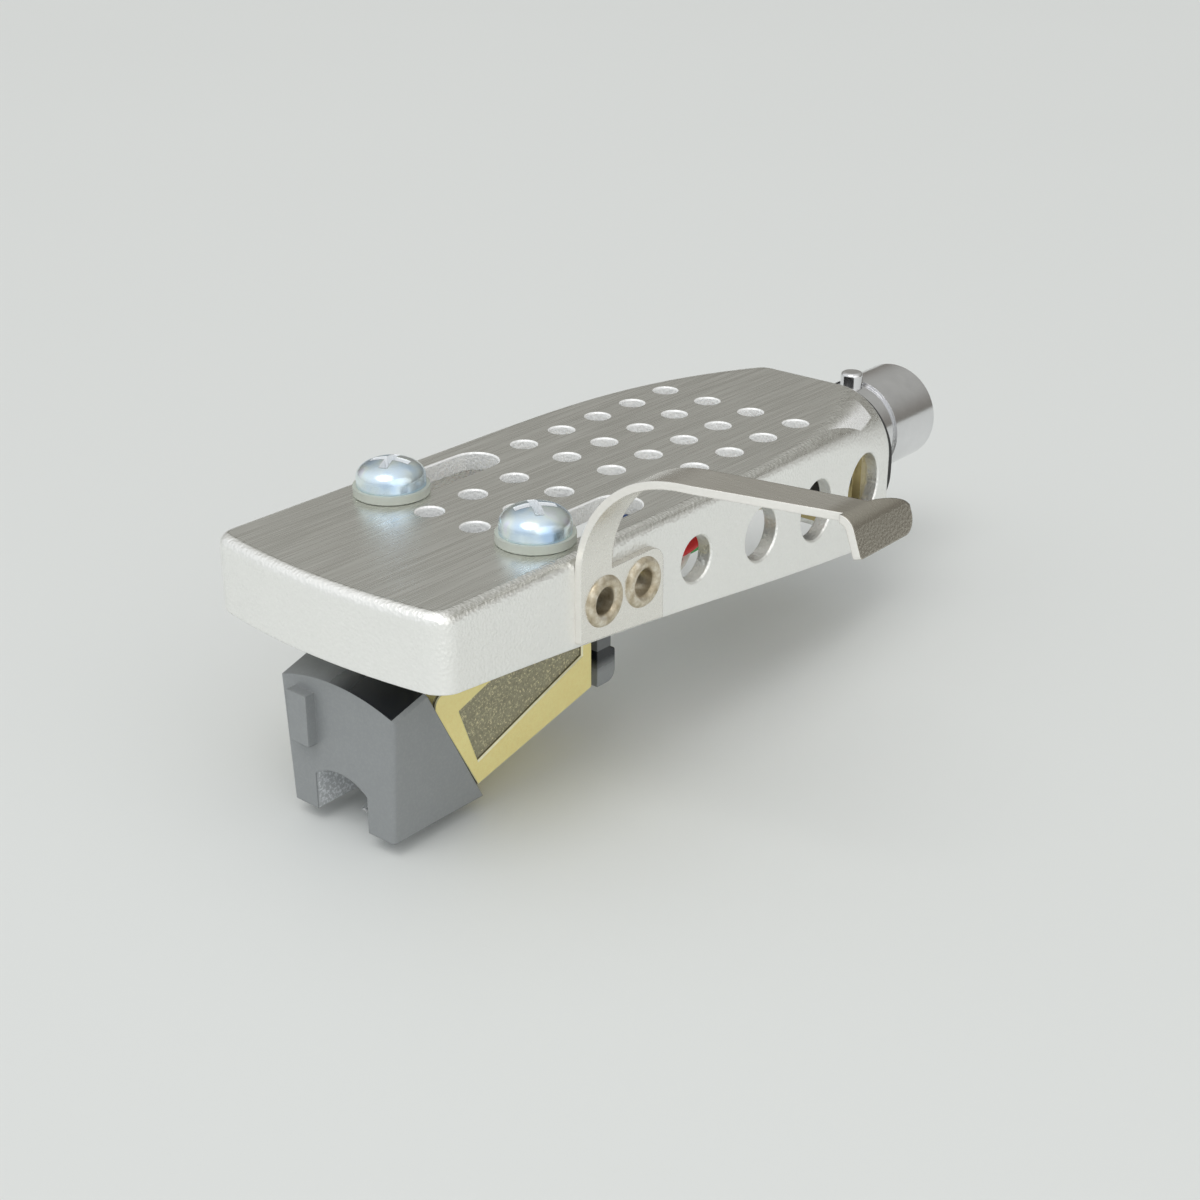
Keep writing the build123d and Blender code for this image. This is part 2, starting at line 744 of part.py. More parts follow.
# Coil former: a moulding that fills the front of the case and holds poles, coils and sleeve
pivot = stylus_plane.offset(pivot_reach).origin
pole_ys = (pivot.Y + pole_behind_pivot, pivot.Y + pole_behind_pivot + pole_pitch)
pole_places = [(side * pole_spacing / 2, y) for y in pole_ys for side in (1, -1)]
coil_top_z = mount_z - coil_top_drop
coil_bottom_z = coil_top_z - coil_height
pole_top_z = coil_top_z + pole_stub
pole_bottom_z = mount_z - pole_bottom_drop
former_front = seam_gap + case_wall + seat_gap
with BuildPart() as coil_former:
    add(case_form(case_wall + seat_gap, former_front, case_shoulder_y + former_length / 2))
    with BuildSketch(Plane.XY.offset(coil_bottom_z)):
        with Locations(*pole_places):
            Circle(coil_radius + seat_gap)
    extrude(amount=coil_height + seat_gap, mode=Mode.SUBTRACT)
    with BuildSketch(Plane.XY.offset(pole_bottom_z)):
        with Locations(*pole_places):
            Circle(pole_radius)
    extrude(amount=pole_top_z - pole_bottom_z, mode=Mode.SUBTRACT)
    with BuildSketch(stylus_plane.offset(sleeve_front_reach)):
        Circle(sleeve_radius + slide_gap)
    extrude(amount=sleeve_rear_reach - sleeve_front_reach + seam_gap, mode=Mode.SUBTRACT)
save(coil_former, "coil_former")

# Four poles, each with a coil wound round its upper end
for number, (pole_x, pole_y) in enumerate(pole_places, start=1):
    with BuildPart() as pole:
        with BuildSketch(Plane.XY.offset(pole_bottom_z)):
            with Locations((pole_x, pole_y)):
                Circle(pole_radius)
        extrude(amount=pole_top_z - pole_bottom_z)
    save(pole, f"pole_{number}")
    with BuildPart() as coil:
        with BuildSketch(Plane.XY.offset(coil_bottom_z)):
            with Locations((pole_x, pole_y)):
                Circle(coil_radius)
                Circle(pole_radius + seat_gap, mode=Mode.SUBTRACT)
        extrude(amount=coil_height)
    save(coil, f"coil_{number}")

# Terminal block: a plug in the rear of the case, then a narrow neck and a stepped face behind it
terminal_places = [(side * terminal_pin_spacing / 2, z) for z in terminal_rows for side in (1, -1)]
terminal_step_z = mount_z - terminal_step_drop
terminal_bottom_z = mount_z - terminal_bottom_drop
with BuildPart() as terminal_block:
    add(case_form(case_wall + seat_gap, former_front, case_rear_y))
    split(bisect_by=Plane.XZ.offset(terminal_plug_depth - case_rear_y), keep=Keep.BOTTOM)
    with BuildSketch(Plane.XZ.offset(-case_rear_y)):
        with Locations((0, (case_top_z + terminal_step_z) / 2)):
            Rectangle(2 * (terminal_half_width - terminal_neck_inset), case_top_z - terminal_step_z)
    extrude(amount=-terminal_neck)
    with BuildSketch(Plane.YZ):
        with BuildLine():
            Polyline(
                (case_rear_y + terminal_neck, case_top_z),
                (terminal_rear_y, case_top_z),
                (terminal_rear_y, terminal_step_z),
                (terminal_rear_y + terminal_step, terminal_step_z),
                (terminal_rear_y + terminal_step, terminal_bottom_z),
                (case_rear_y + terminal_neck, terminal_bottom_z),
                close=True,
            )
        make_face()
    extrude(amount=terminal_half_width, both=True)
    rear_edges = terminal_block.edges().filter_by(Axis.X).group_by(Axis.Y)[-1].sort_by(Axis.Z)
    fillet(rear_edges[0], terminal_corner_radius)
    fillet(rear_edges[1], terminal_edge_radius)
    with BuildSketch(Plane.XZ.offset(-terminal_rear_y - terminal_step)):
        with Locations(*terminal_places):
            Circle(terminal_pin_radius)
    extrude(amount=terminal_step + terminal_depth + terminal_plug_depth, mode=Mode.SUBTRACT)
save(terminal_block, "terminal_block")

# Terminal pins, push-on clips at both ends, and the leads between them
terminal_end_y = terminal_rear_y + terminal_pin_length
contact_end_y = insulator_front_y - contact_post_length
crimp_hold = clip_crimp_length - clip_offset
for lead_name, terminal_place, contact_place in zip(lead_names, terminal_places, contact_places):
    terminal_x, terminal_z = terminal_place
    contact_x, contact_z = contact_place
    with BuildPart() as terminal_pin:
        with BuildSketch(Plane.XZ.offset(-terminal_end_y)):
            with Locations((terminal_x, terminal_z)):
                Circle(terminal_pin_radius)
        extrude(amount=terminal_pin_length + terminal_depth + terminal_plug_depth)
    save(terminal_pin, f"terminal_{lead_name}")
    terminal_mouth = Vector(terminal_x, terminal_end_y - clip_length + clip_offset, terminal_z)
    contact_mouth = Vector(contact_x, contact_end_y + clip_length - clip_offset, contact_z)
    terminal_clip = push_clip(terminal_mouth, (0, 1, 0))
    save(terminal_clip, f"terminal_clip_{lead_name}")
    contact_clip = push_clip(contact_mouth, (0, -1, 0))
    save(contact_clip, f"contact_clip_{lead_name}")
    reach = Vector(0, clip_length + clip_crimp_length - crimp_hold, 0)
    route = lead_route(terminal_mouth + reach, contact_mouth - reach, lead_slack[lead_name])
    radii = bend_radii(route)
    print(f"lead {lead_name} bend radii", [round(radius, 2) for radius in radii])
    with BuildPart() as lead:
        with BuildLine() as path:
            FilletPolyline(*route, radius=radii)
        with BuildSketch(Plane(origin=path.line @ 0, z_dir=path.line % 0)):
            Circle(lead_radius)
        sweep()
    print(f"lead {lead_name} section times length", round(pi * lead_radius**2 * path.wire().length, 3))
    print(f"lead {lead_name} volume", round(lead.part.volume, 3))
    save(lead, f"lead_{lead_name}")

# Stylus holder: the black nose that pulls off, notched below for the stylus
holder_nose_y = screw_y - holder_nose_ahead
holder_top_z = mount_z - holder_top_drop
holder_bottom_z = mount_z - holder_bottom_drop
holder_length = notch_depth + parting_reach
with BuildPart() as stylus_holder:
    with BuildSketch(Plane.XZ.offset(-holder_nose_y)):
        top_x = holder_top_width / 2
        bottom_x = holder_bottom_width / 2
        rise_z = holder_top_z + holder_length * tan(radians(holder_top_slope))
        flare_x = top_x + (top_x - bottom_x) * (rise_z - holder_top_z) / (holder_top_z - holder_bottom_z)
        with BuildLine():
            Polyline(
                (-flare_x, rise_z),
                (-bottom_x, holder_bottom_z),
                (bottom_x, holder_bottom_z),
                (flare_x, rise_z),
            )
            ThreePointArc((flare_x, rise_z), (0, rise_z + holder_arch), (-flare_x, rise_z))
        make_face()
    extrude(amount=-holder_length)
    slope = radians(holder_top_slope)
    nose_top = Plane((0, holder_nose_y, holder_top_z), (1, 0, 0), (0, -cos(slope), -sin(slope)))
    with BuildSketch(nose_top):
        with BuildLine():
            ThreePointArc((-flare_x, 0), (0, holder_arch), (flare_x, 0))
            Polyline((flare_x, 0), (flare_x, holder_length), (-flare_x, holder_length), (-flare_x, 0))
        make_face()
    extrude(amount=2 * holder_length, both=True, mode=Mode.SUBTRACT)
    split(bisect_by=parting_plane(0), keep=Keep.BOTTOM)
    crown_edges = stylus_holder.faces().filter_by(GeomType.CYLINDER)[0].edges()
    chamfer(crown_edges.sort_by(lambda edge: abs(edge.center().X))[-2:], holder_top_chamfer)
    front_edges = stylus_holder.faces().sort_by(Axis.Y)[0].edges()
    fillet(front_edges.sort_by(Axis.Z)[1:3], holder_edge_radius)
    with BuildSketch(Plane.XZ.offset(-holder_nose_y)):
        notch_x = notch_width / 2
        notch_side_z = holder_bottom_z + notch_height
        with BuildLine():
            Polyline(
                (notch_x, notch_side_z),
                (notch_x, holder_bottom_z - cut_margin),
                (-notch_x, holder_bottom_z - cut_margin),
                (-notch_x, notch_side_z),
            )
            ThreePointArc((-notch_x, notch_side_z), (0, notch_side_z + notch_arch), (notch_x, notch_side_z))
        make_face()
    extrude(amount=-notch_depth, mode=Mode.SUBTRACT)
    with BuildSketch(Plane.XZ.offset(-holder_nose_y)):
        with Locations((rib_inset + rib_width / 2 - top_x, holder_top_z - rib_drop - rib_height / 2)):
            Rectangle(rib_width, rib_height)
    extrude(amount=rib_thickness)
    with BuildSketch(stylus_plane):
        Circle(sleeve_radius)
    extrude(amount=holder_length, mode=Mode.SUBTRACT)
save(stylus_holder, "stylus_holder")

# Sleeve: the thin tube that carries the suspension and plugs into the case
with BuildPart() as stylus_sleeve:
    with BuildSketch(stylus_plane.offset(sleeve_front_reach)):
        Circle(sleeve_radius)
        Circle(sleeve_radius - sleeve_wall, mode=Mode.SUBTRACT)
    extrude(amount=sleeve_rear_reach - sleeve_front_reach)
save(stylus_sleeve, "stylus_sleeve")

# Rubber damper that the cantilever pivots in
with BuildPart() as damper:
    with BuildSketch(stylus_plane.offset(pivot_reach - damper_thickness / 2)):
        Circle(sleeve_radius - sleeve_wall - slide_gap)
        Circle(cantilever_radius + slide_gap, mode=Mode.SUBTRACT)
    extrude(amount=damper_thickness)
save(damper, "suspension_damper")

# Diamond: a small upright cone under the cantilever's nose
with BuildPart() as diamond:
    with BuildSketch(Plane.XZ.offset(-tip_y)):
        with BuildLine():
            Polyline(
                (0, tip_z),
                (tip_point_radius, tip_z),
                (tip_radius, stylus_axis_z),
                (0, stylus_axis_z),
                close=True,
            )
        make_face()
    revolve(axis=Axis((0, tip_y, 0), (0, 0, 1)))
save(diamond, "stylus_diamond")

# Cantilever: a thin rod from the diamond through the damper
with BuildPart() as cantilever:
    with BuildSketch(stylus_plane.offset(-cantilever_nose)):
        Circle(cantilever_radius)
    extrude(amount=cantilever_nose + pivot_reach + cantilever_tail)
    add(diamond.part, mode=Mode.SUBTRACT)
save(cantilever, "cantilever")

# Magnet at the cantilever's inner end
with BuildPart() as magnet:
    with BuildSketch(stylus_plane.offset(pivot_reach + cantilever_tail)):
        Circle(magnet_radius)
    extrude(amount=magnet_length)
save(magnet, "magnet")
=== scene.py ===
"""Finishes, leads, light and camera for a perforated headshell that carries a slanted cartridge."""

import json
from math import cos, radians, sin

import bmesh
import bpy
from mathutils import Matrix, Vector


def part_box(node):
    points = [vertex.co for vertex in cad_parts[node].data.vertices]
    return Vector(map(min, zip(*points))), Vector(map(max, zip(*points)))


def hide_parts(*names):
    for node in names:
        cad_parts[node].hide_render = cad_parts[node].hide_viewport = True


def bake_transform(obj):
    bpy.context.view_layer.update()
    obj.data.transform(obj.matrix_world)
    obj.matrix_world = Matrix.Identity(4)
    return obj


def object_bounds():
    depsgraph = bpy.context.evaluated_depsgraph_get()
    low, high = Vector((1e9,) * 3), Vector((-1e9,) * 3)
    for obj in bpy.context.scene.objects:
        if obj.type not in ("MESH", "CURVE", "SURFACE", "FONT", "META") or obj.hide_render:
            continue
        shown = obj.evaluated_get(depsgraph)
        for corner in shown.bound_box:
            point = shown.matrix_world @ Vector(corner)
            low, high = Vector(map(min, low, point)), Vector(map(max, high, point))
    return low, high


MM = 0.001

# Camera: the point it looks at, how far off it stands, and its lens
CAMERA_AIM = Vector((3.06, -42.26, -2.20)) * MM
CAMERA_DISTANCE = 126.36 * MM
CAMERA_AZIMUTH = radians(40.175)
CAMERA_ELEVATION = radians(24.38)
CAMERA_LENS = 55.5
CAMERA_SENSOR = 36.0
CAMERA_NEAR = 5 * MM

# Floor just under the stylus
FLOOR_GAP = 0.4 * MM
FLOOR_SIZE = 3.0

# Lamps: where each shines from, how many degrees it spans, and its power
LAMP_COLOUR = (1.0, 0.99, 0.97)
LAMPS = {
    "window": ((0.08, -0.47, 0.88), 36.0, 0.72),
    "fill": ((0.90, -0.15, 0.40), 70.0, 0.5),
}

# Case, in millimetres in from its sides: the panels' sloping border with a painted highlight, the crease at
# its foot with painted shade, and the mottled floor
CASE_BORDER_HIGHLIGHT = (0.03, 0.11)
CASE_CREASE_SHADE = (0.14, 0.22)
CASE_PANEL = (0.22, 0.3)
CASE_BLUR = 0.02

# Holder's notch, in millimetres: half its width, and how high its walls are painted pale, partly as dirt and
# partly as painted light
NOTCH_HALF_WIDTH = 2.40
NOTCH_HEIGHT = (3.4, 3.6)

# Leads: how far each sits in its crimps and runs straight, and where its two bends stand off the straight way
LEAD_RADIUS = 0.45 * MM
LEAD_HOLD = 0.9 * MM
LEAD_RUN = 2.8 * MM
LEAD_BEND = 4.5 * MM
LEAD_BENDS = (0.35, 0.7)
LEAD_BEND_POINTS = 10
LEAD_SIDES = 20
LEAD_SLACK = {
    "red": ((1.5, -0.5), (1.2, -0.4)),
    "blue": ((-1.5, -0.5), (-1.2, -0.4)),
    "white": ((1.7, 0.4), (0.8, 0.8)),
    "green": ((-0.9, -1.0), (1.55, -0.5)),
}

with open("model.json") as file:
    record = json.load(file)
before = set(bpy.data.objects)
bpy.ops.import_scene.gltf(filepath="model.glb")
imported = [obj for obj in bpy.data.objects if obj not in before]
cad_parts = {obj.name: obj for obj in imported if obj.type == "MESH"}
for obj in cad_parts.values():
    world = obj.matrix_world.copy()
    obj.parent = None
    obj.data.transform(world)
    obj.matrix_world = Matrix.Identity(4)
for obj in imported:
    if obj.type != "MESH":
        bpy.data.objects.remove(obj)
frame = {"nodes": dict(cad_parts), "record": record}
cad_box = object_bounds()
nodes = frame["nodes"]


class Value:
    """A shader value that takes part in sums written as Python."""

    def __init__(self, paint, socket):
        self.paint = paint
        self.socket = socket

    def math(self, operation, first, second):
        return self.paint.node("ShaderNodeMath", {"operation": operation}, {0: first, 1: second})

    def __add__(self, other):
        return self.math("ADD", self, other)

    __radd__ = __add__

    def __sub__(self, other):
        return self.math("SUBTRACT", self, other)

    def __rsub__(self, other):
        return self.math("SUBTRACT", other, self)

    def __mul__(self, other):
        return self.math("MULTIPLY", self, other)

    __rmul__ = __mul__

    def __or__(self, other):
        return self.math("MAXIMUM", self, other)

    def __abs__(self):
        return self.math("ABSOLUTE", self, 0.0)


class Paint:
    """The shader tree of a material or a world, fed by expressions."""

    def __init__(self, owner, shader, fixed):
        owner.use_nodes = True
        self.owner = owner
        self.tree = owner.node_tree
        self.shader = self.tree.nodes[shader]
        for socket, value in fixed.items():
            self.set(socket, value)

    def feed(self, socket, value):
        """Links a value to a socket, or sets a plain number or colour on it."""
        if isinstance(value, Value):
            self.tree.links.new(value.socket, socket)
        else:
            socket.default_value = value

    def node(self, kind, settings, inputs, output=0):
        """Adds one node, sets it up, feeds its sockets and returns an output."""
        node = self.tree.nodes.new(kind)
        for setting, value in settings.items():
            if setting == "stops":
                set_stops(node.color_ramp, value)
            else:
                setattr(node, setting, value)
        for socket, value in inputs.items():
            self.feed(node.inputs[socket], value)
        return Value(self, node.outputs[output])

    def set(self, socket, value):
        self.feed(self.shader.inputs[socket], value)

    def place(self, per_mm):
        """Object coordinates, with so many pattern units to the millimetre along each axis."""
        scale = [axis / MM for axis in per_mm]
        coordinates = self.node("ShaderNodeTexCoord", {}, {}, "Object")
        return self.node("ShaderNodeMapping", {}, {"Vector": coordinates, "Scale": scale})

    def axis(self, letter):
        """The place along one axis in millimetres."""
        return self.node("ShaderNodeSeparateXYZ", {}, {0: self.place((1, 1, 1))}, letter)

    def facing(self, letter):
        """How far the surface faces along one axis."""
        normal = self.node("ShaderNodeTexCoord", {}, {}, "Normal")
        return self.node("ShaderNodeSeparateXYZ", {}, {0: normal}, letter)

    def noise(self, per_mm, detail=3.0, roughness=0.5):
        inputs = {"Vector": self.place(per_mm), "Scale": 1.0, "Detail": detail, "Roughness": roughness}
        return self.node("ShaderNodeTexNoise", {}, inputs)

    def grains(self, per_mm):
        inputs = {"Vector": self.place((per_mm, per_mm, per_mm)), "Scale": 1.0}
        return self.node("ShaderNodeTexVoronoi", {}, inputs)

    def ease(self, value, low, high):
        """A soft step from 0 to 1 as the value goes from low to high."""
        inputs = {"Value": value, "From Min": low, "From Max": high}
        return self.node("ShaderNodeMapRange", {"interpolation_type": "SMOOTHSTEP"}, inputs)

    def between(self, value, low, high, blur):
        """One where the value lies between two bounds, fading to 0 outside them."""
        return self.ease(value, low - blur, low) * (1 - self.ease(value, high, high + blur))

    def mix(self, factor, first, second):
        """A blend of two colours."""
        inputs = {0: factor, 6: first, 7: second}
        return self.node("ShaderNodeMix", {"data_type": "RGBA"}, inputs, 2)

    def ramp(self, factor, stops):
        return self.node("ShaderNodeValToRGB", {"stops": stops}, {0: factor})

    def relief(self, height, depth, rounding=0.0):
        """Gives the surface a fine relief of a depth in millimetres, and sharp edges a rounding."""
        inputs = {"Height": height, "Strength": 1.0, "Distance": depth * MM}
        if rounding:
            inputs["Normal"] = self.node("ShaderNodeBevel", {"samples": 6}, {"Radius": rounding * MM})
        self.set("Normal", self.node("ShaderNodeBump", {}, inputs))


def surface(name, **fixed):
    """A new material whose Principled shader starts with fixed values."""
    names = {key.replace("_", " ").title().replace("Ior", "IOR"): value for key, value in fixed.items()}
    return Paint(bpy.data.materials.new(name), "Principled BSDF", names)


def set_stops(ramp, stops):
    """Sets a colour ramp's stops, each a place and a colour."""
    while len(ramp.elements) < len(stops):
        ramp.elements.new(1.0)
    for element, (place, colour) in zip(ramp.elements, stops):
        element.position = place
        element.color = colour


def grey(level):
    return (level, level, level, 1.0)


def shell_metal():
    """Aluminium: brushed lengthways on the plate, bead-blasted on the walls, bright in the drilled holes."""
    paint = surface("shell_metal")
    up = paint.facing("Z")
    x, y, z = (paint.axis(letter) for letter in "XYZ")
    low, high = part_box("shell")
    top_z = high.z / MM
    flat = paint.ease(up, 0.985, 0.999) * paint.ease(z, top_z - 0.1, top_z - 0.02)
    aside = paint.ease(paint.facing("Y"), -0.35, -0.15)
    domed = aside * paint.ease(up, 0.40, 0.62) * paint.ease(z, top_z - 3.6, top_z - 3.2)
    top = flat | domed
    inside_x = paint.between(abs(x), -1.0, high.x / MM - 1.75, 0.02)
    inside_y = paint.between(y, low.y / MM + 2.0, high.y / MM - 2.4, 0.02)
    upright = 1 - paint.ease(abs(up), 0.75, 0.95)
    drilled = inside_x * inside_y * paint.ease(z, top_z - 1.5, top_z - 1.4) * upright
    streaks = paint.noise((4.0, 0.08, 4.0), 4.0, 0.6)
    fine_streaks = paint.noise((14.0, 0.2, 14.0), 2.0, 0.5)
    blast = paint.grains(4.5)
    speck = paint.noise((4.0, 4.0, 4.0), 3.0, 0.7)
    cloud = paint.noise((0.12, 0.12, 0.12), 3.0, 0.5)
    brushed = paint.ease(streaks * 0.5 + fine_streaks * 0.5, 0.3, 0.7)
    tone = paint.mix(brushed, (0.70, 0.70, 0.66, 1.0), (0.83, 0.83, 0.79, 1.0))
    satin = paint.mix(speck * 0.6 + cloud * 0.4, (0.86, 0.86, 0.83, 1.0), (1.0, 1.0, 0.97, 1.0))
    bright = paint.mix(speck, (0.86, 0.87, 0.86, 1.0), (1.0, 1.0, 1.0, 1.0))
    paint.set("Base Color", paint.mix(drilled, paint.mix(top, satin, tone), bright))
    paint.set("Metallic", (0.78 + 0.22 * top) * (1 - 0.7 * drilled))
    paint.set("Roughness", top * (0.22 + 0.16 * brushed) + (1 - top) * (0.28 + 0.1 * cloud))
    paint.relief(flat * brushed * 0.15 + (1 - flat) * (blast + speck * 0.5), 0.034, 0.1)
    return paint.owner


def lift_metal():
    """Aluminium sheet with a dull rolled face, darker towards its end, with painted shade along the arm and
    darker still at the paddle, and bright cut edges.
    """
    paint = surface("lift_metal")
    end_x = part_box("finger_lift")[1].x / MM
    x = paint.axis("X")
    cut = paint.ease(abs(paint.facing("Y")), 0.5, 0.8)
    # Painted shade darkens the arm towards its end; the paddle end is darker still.
    arm_shade_and_dark_paddle = 0.4 * paint.ease(x, end_x - 16.0, end_x - 8.0) + 0.6 * paint.ease(x, end_x - 2.9, end_x - 1.9)
    grain = paint.noise((0.5, 7.0, 7.0), 4.0, 0.6)
    blast = paint.grains(6.0)
    face = paint.mix(grain, (0.82, 0.80, 0.74, 1.0), (0.96, 0.94, 0.89, 1.0))
    paddle = paint.mix(grain, (0.44, 0.41, 0.35, 1.0), (0.60, 0.57, 0.50, 1.0))
    edge = paint.mix(grain, (0.88, 0.86, 0.81, 1.0), (1.0, 0.98, 0.94, 1.0))
    paint.set("Base Color", paint.mix(cut, paint.mix(arm_shade_and_dark_paddle, face, paddle), edge))
    paint.set("Metallic", 1.0 - 0.3 * cut)
    paint.set("Roughness", 0.20 + 0.12 * grain + 0.14 * cut)
    paint.relief(blast * 0.6 + grain * 0.4, 0.010, 0.1)
    return paint.owner


def tarnished_metal():
    """Nickel-plated brass gone olive brown in patches."""
    paint = surface("tarnished_metal", metallic=0.7)
    patches = paint.noise((1.3, 1.3, 1.3), 5.0, 0.65)
    stops = [(0.3, (0.38, 0.31, 0.20, 1.0)), (0.5, (0.60, 0.53, 0.40, 1.0)), (0.72, (0.88, 0.84, 0.74, 1.0))]
    paint.set("Base Color", paint.ramp(patches, stops))
    paint.set("Roughness", 0.48 - 0.25 * patches)
    paint.relief(patches, 0.01)
    return paint.owner


def zinc_plate():
    """Bright bluish zinc with the faint rainbow of its passivated film, a painted glint in the cross slot of
    each head, and threads on the shanks.
    """
    paint = surface("zinc_plate")
    film = paint.noise((0.55, 0.55, 0.55), 2.0, 0.4)
    stops = [
        (0.30, (0.52, 0.70, 0.94, 1.0)),
        (0.45, (0.72, 0.86, 0.98, 1.0)),
        (0.58, (0.84, 0.93, 0.91, 1.0)),
        (0.70, (0.83, 0.84, 0.97, 1.0)),
    ]
    low, high = (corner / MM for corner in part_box("mounting_screws"))
    across = abs(paint.axis("X")) - (high.x - low.x + low.y - high.y) / 2
    along = paint.axis("Y") - (low.y + high.y) / 2
    central = 1 - paint.ease(across * across + along * along, 2.2, 2.4)
    upright = 1 - paint.ease(paint.facing("Z"), 0.2, 0.4)
    # Painted glint: the upright walls of each head's cross slot get a near-white, less metallic colour.
    socket_glint = central * upright * paint.ease(paint.axis("Z"), high.z - 1.2, high.z - 1.1)
    paint.set("Base Color", paint.mix(socket_glint, paint.ramp(film, stops), (0.96, 0.98, 1.0, 1.0)))
    paint.set("Metallic", 1 - 0.7 * socket_glint)
    scuffs = paint.noise((3.0, 3.0, 3.0), 4.0, 0.6)
    paint.set("Roughness", 0.16 + 0.16 * scuffs)
    head_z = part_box("mounting_washers")[0].z / MM
    shank = 1 - paint.ease(paint.axis("Z"), head_z - 0.1, head_z)
    wave_inputs = {"Vector": paint.place((0, 0, 1)), "Scale": 0.7}
    turns = paint.node("ShaderNodeTexWave", {"bands_direction": "Z"}, wave_inputs)
    paint.relief(shank * turns * 8.0 + scuffs * 0.3, 0.02, 0.1)
    return paint.owner


def nylon():
    """Milky nylon with a yellow-green cast."""
    paint = surface("nylon", transmission_weight=0.5, ior=1.53)
    cloud = paint.noise((0.7, 0.7, 0.7), 2.0, 0.5)
    paint.set("Base Color", paint.mix(cloud, (0.84, 0.90, 0.78, 1.0), (0.95, 0.99, 0.91, 1.0)))
    paint.set("Roughness", 0.25 + 0.15 * cloud)
    paint.relief(cloud, 0.005, 0.08)
    return paint.owner


def plated_metal(name, colour, dull, roughness):
    """Smooth plating, a little dull in places."""
    paint = surface(name, metallic=1.0)
    cloud = paint.noise((0.6, 0.6, 0.6), 4.0, 0.6)
    paint.set("Base Color", paint.mix(cloud, dull, colour))
    paint.set("Roughness", roughness + 0.14 * cloud)
    paint.relief(paint.noise((6.0, 6.0, 6.0), 2.0, 0.5), 0.002, 0.05)
    return paint.owner


def case_gold():
    """Pale gold lacquer, with a dark mottled floor in the sunk side panels, a painted highlight on their
    sloping border and painted shade in the crease at its foot.
    """
    paint = surface("case_gold")
    half_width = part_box("cartridge_case")[1].x / MM
    sunk = half_width - abs(paint.axis("X"))
    panel = paint.between(sunk, *CASE_PANEL, CASE_BLUR)
    border_highlight = paint.between(sunk, *CASE_BORDER_HIGHLIGHT, CASE_BLUR)
    crease_shade = paint.between(sunk, *CASE_CREASE_SHADE, CASE_BLUR)
    grain = paint.noise((4.0, 4.0, 4.0), 5.0, 0.7)
    fleck = paint.ease(paint.noise((6.0, 6.0, 6.0), 4.0, 0.7), 0.52, 0.66)
    cloud = paint.noise((0.5, 0.5, 0.5), 3.0, 0.5)
    gold = paint.mix(cloud * 0.3 + grain * 0.7, (0.90, 0.72, 0.27, 1.0), (1.0, 0.94, 0.47, 1.0))
    # Painted highlight on the panels' sloping border, painted shade in the crease at its foot.
    edged = paint.mix(crease_shade, paint.mix(border_highlight, gold, (1.0, 0.97, 0.72, 1.0)), (0.10, 0.085, 0.04, 1.0))
    floor = paint.mix(grain, (0.14, 0.135, 0.09, 1.0), (0.50, 0.47, 0.33, 1.0))
    flecked = paint.mix(fleck * 0.7, floor, (0.92, 0.84, 0.52, 1.0))
    paint.set("Base Color", paint.mix(panel, edged, flecked))
    paint.set("Metallic", 0.45)
    paint.set("Roughness", 0.32 + 0.14 * grain + panel * 0.1)
    paint.relief(grain, 0.04, 0.1)
    return paint.owner


def dark_moulding(name, gloss_and_shade_mask, dirt_and_light_mask):
    """Dark plastic with a dull grey skin; glossy and painted near-black as shade under one mask, and painted
    pale as dirt and as painted light under the other.
    """
    paint = surface(name, ior=1.5)
    scuffs = paint.noise((0.9, 0.9, 0.9), 6.0, 0.7)
    speck = paint.ease(paint.noise((5.0, 5.0, 5.0), 4.0, 0.7), 0.45, 0.62)
    gloss_and_shade = gloss_and_shade_mask(paint)
    dirt_and_light = speck * 0.03 * (1 - gloss_and_shade) + (0.35 + 0.5 * speck) * dirt_and_light_mask(paint)
    dull = paint.mix(scuffs, (0.240, 0.253, 0.258, 1.0), (0.280, 0.293, 0.298, 1.0))
    # Painted shade: under the first mask the colour turns near-black as well as glossy.
    plain = paint.mix(gloss_and_shade, dull, (0.012, 0.014, 0.018, 1.0))
    # Pale colour for dirt specks, which on the notch walls also stands in for painted light.
    paint.set("Base Color", paint.mix(dirt_and_light, plain, (0.80, 0.82, 0.84, 1.0)))
    paint.set("Roughness", 0.30 + 0.12 * scuffs - 0.24 * gloss_and_shade + 0.3 * dirt_and_light)
    paint.relief((scuffs * 0.4 + dirt_and_light * 0.6) * (1 - gloss_and_shade), 0.004, 0.12)
    return paint.owner


def holder_crown(paint):
    """One on the holder's arched top, painted shade from the shell above, less towards its left end, which
    keeps a lighter painted reflection.
    """
    return paint.ease(paint.facing("Z"), 0.80, 0.90) * paint.ease(paint.axis("X"), -1.8, 1.5)


def holder_notch(paint):
    """One on the walls of the holder's notch, painted pale partly as dirt and partly as painted light."""
    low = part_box("stylus_holder")[0] / MM
    across = paint.between(abs(paint.axis("X")), -1.0, NOTCH_HALF_WIDTH, 0.05)
    inside = paint.ease(paint.axis("Y"), low.y + 0.8, low.y + 0.9)
    above = paint.ease(paint.axis("Z"), *(low.z + height for height in NOTCH_HEIGHT))
    return across * inside * (1 - above)


def terminal_step_shade(paint):
    """One on the terminal block along its step, fading downwards, and half of it above: painted shade,
    glossier there as well.
    """
    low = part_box("terminal_block")[0] / MM
    z = paint.axis("Z")
    below = paint.ease(z, low.z + 0.9, low.z + 2.05) * (1 - paint.ease(z, low.z + 2.65, low.z + 2.75))
    return below | 0.5 * paint.ease(z, low.z + 2.5, low.z + 2.6)


def no_mask(paint):
    """Nought all over."""
    return 0.0


